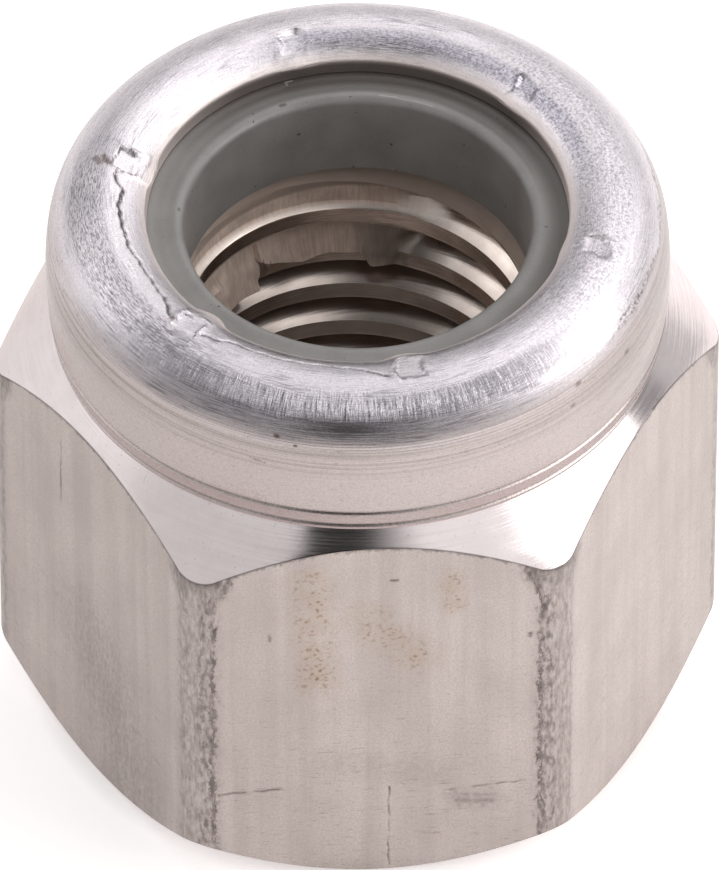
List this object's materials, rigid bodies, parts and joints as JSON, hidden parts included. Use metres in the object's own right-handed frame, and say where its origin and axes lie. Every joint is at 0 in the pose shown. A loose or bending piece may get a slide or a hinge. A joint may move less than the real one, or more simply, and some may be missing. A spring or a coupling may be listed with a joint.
{
  "type": "lock nut",
  "caption": "Tall hexagon lock nut: chamfered hexagon, cone shoulder and a rolled, staked collar that traps a polyamide ring, which grips the bolt's thread.",
  "frame": {"origin": "centre of the bearing face", "axes": "+Z along the thread axis, from the bearing face to the rolled lip; two flats face +Y and -Y, two corners lie on the X axis"},
  "size_m": [0.0144, 0.0128, 0.0127],
  "materials": {
    "metal": "bare drawn and turned metal, scuffed",
    "ring": "satin moulded polyamide"
  },
  "bodies": {
    "root": {"nut_body": "metal", "locking_insert": "ring"}
  },
  "joints": []
}
